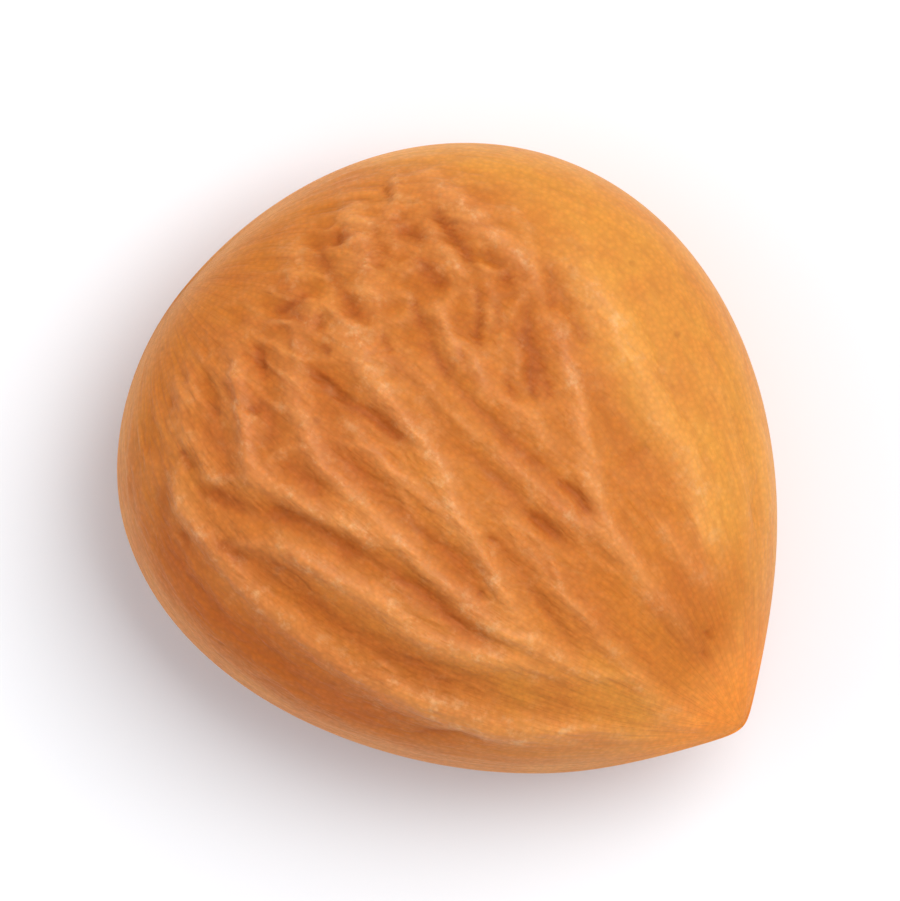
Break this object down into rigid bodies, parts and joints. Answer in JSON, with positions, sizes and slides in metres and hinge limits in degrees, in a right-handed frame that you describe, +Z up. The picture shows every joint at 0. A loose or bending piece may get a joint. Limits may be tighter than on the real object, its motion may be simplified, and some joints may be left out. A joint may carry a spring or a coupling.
{
  "type": "apricot kernel",
  "caption": "Apricot kernel: flattened drop-shaped seed with a ribbed papery skin, lying on its broad side on a small flat spot.",
  "frame": {"origin": "on the surface it lies on, under the middle of the kernel's box", "axes": "+X towards the point, +Y towards the fuller edge, +Z up, out of the broad face"},
  "size_m": [0.0134, 0.0118, 0.0062],
  "materials": {
    "kernel_skin": "matte"
  },
  "bodies": {
    "root": {"kernel": "kernel_skin"}
  },
  "joints": []
}
